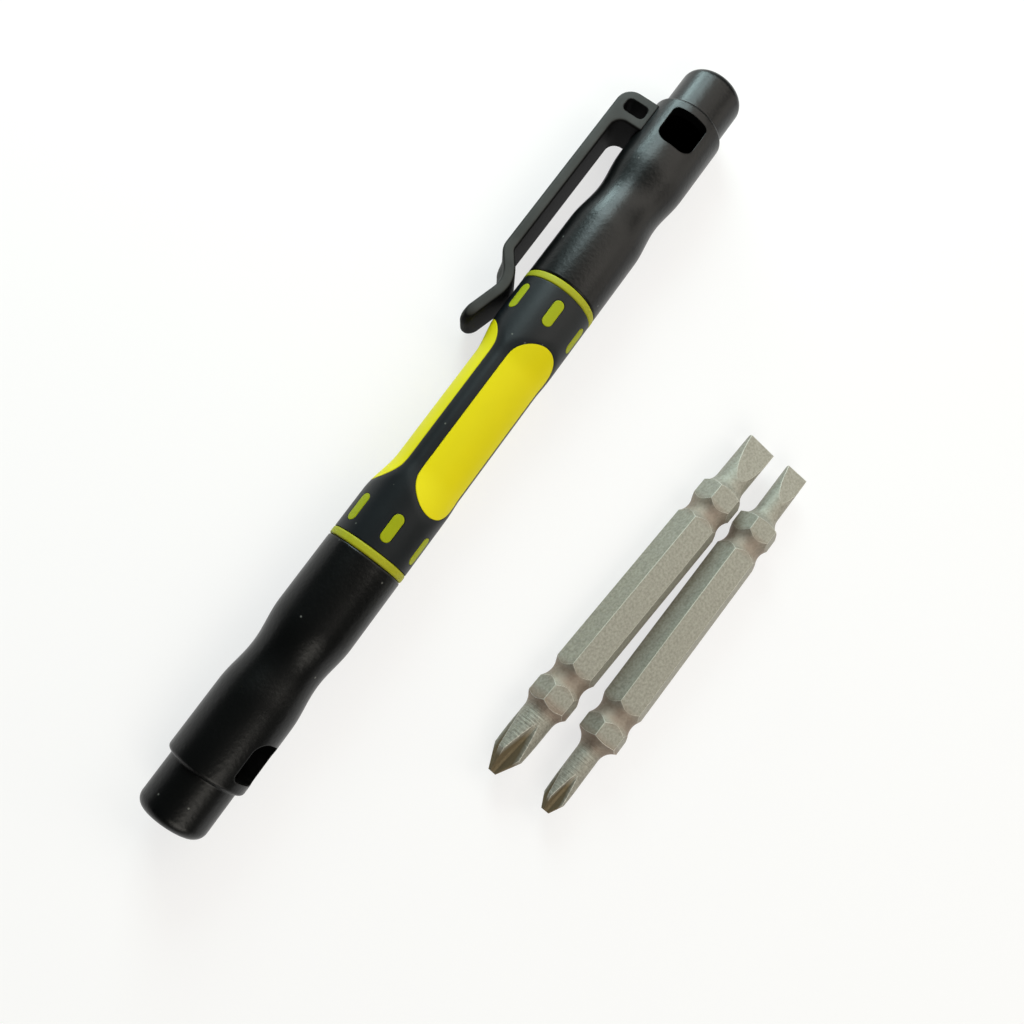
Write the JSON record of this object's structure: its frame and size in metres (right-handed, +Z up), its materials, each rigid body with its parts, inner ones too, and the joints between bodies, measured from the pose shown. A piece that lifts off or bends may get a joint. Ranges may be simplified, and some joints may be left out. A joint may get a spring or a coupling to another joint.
{
  "type": "pocket screwdriver",
  "caption": "Pen-shaped pocket screwdriver with a soft two-colour grip, pull-off caps, a pocket clip and double-ended hex bits lying beside it.",
  "frame": {"origin": "on the table, under the middle of the box round the pen and the two bits", "axes": "+X along the pen towards its clip end, +Y towards the clip, +Z up from the table"},
  "size_m": [0.1336, 0.061, 0.0121],
  "materials": {
    "yellow_plastic": "satin",
    "black_rubber": "matt",
    "drawn_steel": "satin",
    "plated_magnet": "bright",
    "black_plastic": "satin",
    "dark_plastic": "matt",
    "bit_steel": "blasted"
  },
  "bodies": {
    "handle": {"grip_core": "yellow_plastic", "grip_skin": "black_rubber", "front_bit_sleeve": "drawn_steel", "rear_bit_sleeve": "drawn_steel", "bit_magnet": "plated_magnet"},
    "front_cap": {"front_cap": "black_plastic"},
    "rear_cap": {"rear_cap": "black_plastic", "pocket_clip": "dark_plastic"},
    "large_bit": {"large_bit": "bit_steel"},
    "small_bit": {"small_bit": "bit_steel"}
  },
  "joints": [
    {"name": "front_cap_pull", "type": "slide", "parent": "handle", "child": "front_cap", "axis": [-1, 0, 0], "range_m": [0, 0.06]},
    {"name": "rear_cap_pull", "type": "slide", "parent": "handle", "child": "rear_cap", "axis": [1, 0, 0], "range_m": [0, 0.06]},
    {"name": "large_bit_lift", "type": "slide", "parent": "handle", "child": "large_bit", "axis": [0, 0, 1], "range_m": [0, 0.03]},
    {"name": "small_bit_lift", "type": "slide", "parent": "handle", "child": "small_bit", "axis": [0, 0, 1], "range_m": [0, 0.03]}
  ]
}
